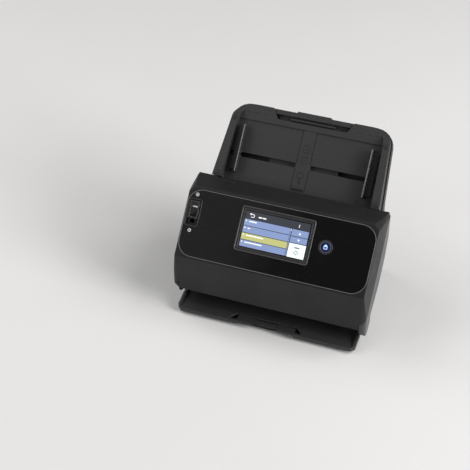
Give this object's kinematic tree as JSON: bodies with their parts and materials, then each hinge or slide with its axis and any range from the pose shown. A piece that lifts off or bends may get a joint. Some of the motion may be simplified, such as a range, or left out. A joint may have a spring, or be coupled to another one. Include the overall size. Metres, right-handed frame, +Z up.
{
  "type": "sheet-fed document scanner",
  "caption": "Desktop sheet-fed document scanner with slanted touch panel, inclined feed tray with sliding guides and extension, straight paper path and pull-out eject tray.",
  "frame": {"origin": "centre of the footprint, on the table", "axes": "+X to the right of a person facing the panel, -Y toward that person, +Z up"},
  "size_m": [0.291, 0.245, 0.2308],
  "materials": {
    "body": "fine matte grain, near black",
    "side": "fine matte grain, dark grey",
    "case": "matte black moulding",
    "tray": "matte grain, dark grey",
    "guide": "satin dark grey",
    "gloss": "high gloss black",
    "bezel": "satin dark grey",
    "screen": "touch screen glass over a lit display",
    "glass": "clear scanning glass",
    "lit_button": "navy, lit from behind",
    "ring": "satin grey ring",
    "steel": "plain bright steel",
    "rubber": "dark grey rubber",
    "feet": "black rubber",
    "pinch": "light grey acetal",
    "gear": "natural acetal",
    "board": "green circuit board",
    "sensor": "dark grey sensor housing",
    "motor": "grey painted can",
    "socket_metal": "bright plated shell",
    "socket_plastic": "black"
  },
  "bodies": {
    "base": {"lower_case": "case", "rear_cover": "case", "belly_cover": "case", "left_side_cover": "side", "right_side_cover": "side", "left_frame": "steel", "right_frame": "steel", "lower_guide_plate": "case", "rear_sensor": "sensor", "rear_glass": "glass", "feed_tray": "tray", "tray_back": "case", "drive_motor": "motor", "timing_belt": "rubber", "main_board": "board", "dc_jack": "socket_plastic", "usb_port": "socket_metal", "lan_port": "socket_metal", "rubber_feet": "feet", "case_screws": "steel", "left_hinge_pin": "steel", "right_hinge_pin": "steel"},
    "motor_drive": {"motor_pulley": "steel"},
    "feed_drive": {"feed_roller": "steel", "feed_tyres": "rubber"},
    "transport_drive": {"transport_roller": "steel", "transport_tyres": "rubber"},
    "eject_drive": {"eject_roller": "steel", "eject_tyres": "rubber"},
    "front_unit": {"front_cover": "body", "front_guide": "case", "control_panel": "gloss", "screen_bezel": "bezel", "touch_glass": "screen", "display_module": "sensor", "panel_board": "board", "lever_housing": "gloss", "home_ring": "ring", "front_sensor": "sensor", "front_glass": "glass"},
    "retard": {"retard_roller": "rubber"},
    "transport_idler": {"transport_pinch": "pinch"},
    "eject_idler": {"eject_pinch": "pinch"},
    "lever": {"feed_lever": "gloss"},
    "home": {"home_button": "lit_button"},
    "guide_left": {"left_guide": "guide"},
    "guide_right": {"right_guide": "guide"},
    "pinion": {"guide_pinion": "gear"},
    "feed_ext": {"feed_extension": "tray"},
    "feed_tip": {"extension_tip": "tray"},
    "eject": {"eject_tray": "tray"},
    "eject_ext": {"eject_extension": "tray"},
    "stopper": {"document_stopper": "tray"}
  },
  "joints": [
    {"name": "front_unit_tilt", "type": "hinge", "parent": "base", "child": "front_unit", "pos_m": [0, -0.09393, 0.036], "axis": [1, 0, 0], "range_deg": [0, 65]},
    {"name": "motor_spin", "type": "hinge", "parent": "base", "child": "motor_drive", "pos_m": [0, -0.0291, 0.05038], "axis": [1, 0, 0], "continuous": true},
    {"name": "feed_spin", "type": "hinge", "parent": "base", "child": "feed_drive", "pos_m": [0, -0.01383, 0.09168], "axis": [1, 0, 0], "continuous": true},
    {"name": "transport_spin", "type": "hinge", "parent": "base", "child": "transport_drive", "pos_m": [0, -0.03575, 0.074], "axis": [1, 0, 0], "continuous": true},
    {"name": "eject_spin", "type": "hinge", "parent": "base", "child": "eject_drive", "pos_m": [0, -0.07252, 0.03723], "axis": [1, 0, 0], "continuous": true},
    {"name": "retard_spin", "type": "hinge", "parent": "front_unit", "child": "retard", "pos_m": [0, -0.02769, 0.10553], "axis": [1, 0, 0], "continuous": true},
    {"name": "transport_idler_spin", "type": "hinge", "parent": "front_unit", "child": "transport_idler", "pos_m": [0, -0.04466, 0.08291], "axis": [1, 0, 0], "continuous": true},
    {"name": "eject_idler_spin", "type": "hinge", "parent": "front_unit", "child": "eject_idler", "pos_m": [0, -0.08143, 0.04614], "axis": [1, 0, 0], "continuous": true},
    {"name": "feed_lever_slide", "type": "slide", "parent": "front_unit", "child": "lever", "axis": [0, -0.7071, -0.7071], "range_m": [0, 0.0085]},
    {"name": "home_press", "type": "slide", "parent": "front_unit", "child": "home", "axis": [0, 0.7071, -0.7071], "range_m": [0, 0.0008], "stiffness_N_per_m": 1500},
    {"name": "left_guide_slide", "type": "slide", "parent": "base", "child": "guide_left", "axis": [1, 0, 0], "range_m": [-0.0115, 0.068]},
    {"name": "right_guide_slide", "type": "slide", "parent": "base", "child": "guide_right", "axis": [-1, 0, 0], "range_m": [-0.0115, 0.068]},
    {"name": "guide_pinion_turn", "type": "hinge", "parent": "base", "child": "pinion", "pos_m": [0, 0.05886, 0.17172], "axis": [0, -0.7071, 0.7071], "range_deg": [-650, 110]},
    {"name": "feed_extension_slide", "type": "slide", "parent": "base", "child": "feed_ext", "axis": [0, 0.7071, 0.7071], "range_m": [0, 0.08]},
    {"name": "extension_tip_slide", "type": "slide", "parent": "feed_ext", "child": "feed_tip", "axis": [0, 0.7071, 0.7071], "range_m": [0, 0.08]},
    {"name": "eject_tray_slide", "type": "slide", "parent": "base", "child": "eject", "axis": [0, -1, 0], "range_m": [0, 0.09]},
    {"name": "eject_extension_slide", "type": "slide", "parent": "eject", "child": "eject_ext", "axis": [0, -1, 0], "range_m": [0, 0.105]},
    {"name": "stopper_fold", "type": "hinge", "parent": "eject_ext", "child": "stopper", "pos_m": [0, -0.1163, 0.00675], "axis": [1, 0, 0], "range_deg": [0, 90]}
  ],
  "couplings": [
    {"joint": "feed_spin", "follows": "motor_spin", "ratio": 0.7},
    {"joint": "transport_spin", "follows": "motor_spin", "ratio": 0.7},
    {"joint": "eject_spin", "follows": "motor_spin", "ratio": 0.7},
    {"joint": "retard_spin", "follows": "motor_spin", "ratio": -0.77778},
    {"joint": "transport_idler_spin", "follows": "motor_spin", "ratio": -0.98},
    {"joint": "eject_idler_spin", "follows": "motor_spin", "ratio": -0.98},
    {"joint": "right_guide_slide", "follows": "left_guide_slide", "ratio": 1},
    {"joint": "guide_pinion_turn", "follows": "left_guide_slide", "rad_per_m": -166.67}
  ]
}
